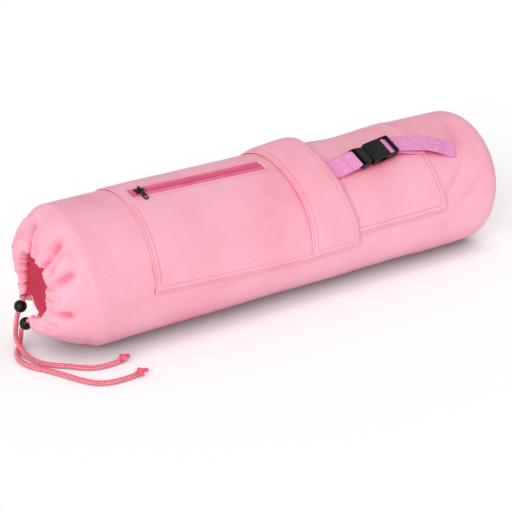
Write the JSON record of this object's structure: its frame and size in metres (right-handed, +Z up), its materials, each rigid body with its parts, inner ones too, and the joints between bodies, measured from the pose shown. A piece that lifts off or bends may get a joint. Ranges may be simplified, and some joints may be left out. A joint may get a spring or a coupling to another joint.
{
  "type": "yoga mat bag",
  "caption": "Tubular drawstring bag for a rolled mat, lying on its side, with a zip pocket, an open pocket under a sewn band, and a buckled strap.",
  "frame": {"origin": "under the middle of the bag's own box, on the surface it rests on, the drawstring's free tails left out", "axes": "+X along the bag from its gathered mouth to its closed end, -Y the front with the pockets, +Z up"},
  "size_m": [0.6902, 0.2235, 0.1811],
  "materials": {
    "cloth": "matt woven polyester with a soft sheen",
    "webbing": "ribbed woven nylon webbing",
    "zip_tape": "fine woven tape",
    "zip_coil": "satin moulded coil",
    "slider_metal": "dark satin enamel",
    "buckle_plastic": "satin moulded acetal",
    "cord": "braided polyester cord",
    "bead_plastic": "satin moulded plastic"
  },
  "bodies": {
    "root": {"bag_tube": "cloth", "mouth_gather": "cloth", "end_panel": "cloth", "mouth_hem": "cloth", "zip_pocket_panel": "cloth", "open_pocket_panel": "cloth", "flap_band": "cloth", "zip_tape": "zip_tape", "zip_coil": "zip_coil", "zip_slider": "slider_metal", "webbing_short": "webbing", "webbing_long": "webbing", "buckle_male": "buckle_plastic", "buckle_female": "buckle_plastic", "drawstring_loop": "cord", "drawstring_tail_a": "cord", "drawstring_tail_b": "cord", "cord_knot_a": "cord", "cord_knot_b": "cord", "cord_bead_a": "bead_plastic", "cord_bead_b": "bead_plastic"},
    "pull_tab": {"zip_pull_tab": "slider_metal"}
  },
  "joints": [
    {"name": "zip_pull_swing", "type": "hinge", "parent": "root", "child": "pull_tab", "pos_m": [-0.18714, -0.01317, 0.17785], "axis": [-1, 0, 0], "range_deg": [0, 150]}
  ]
}
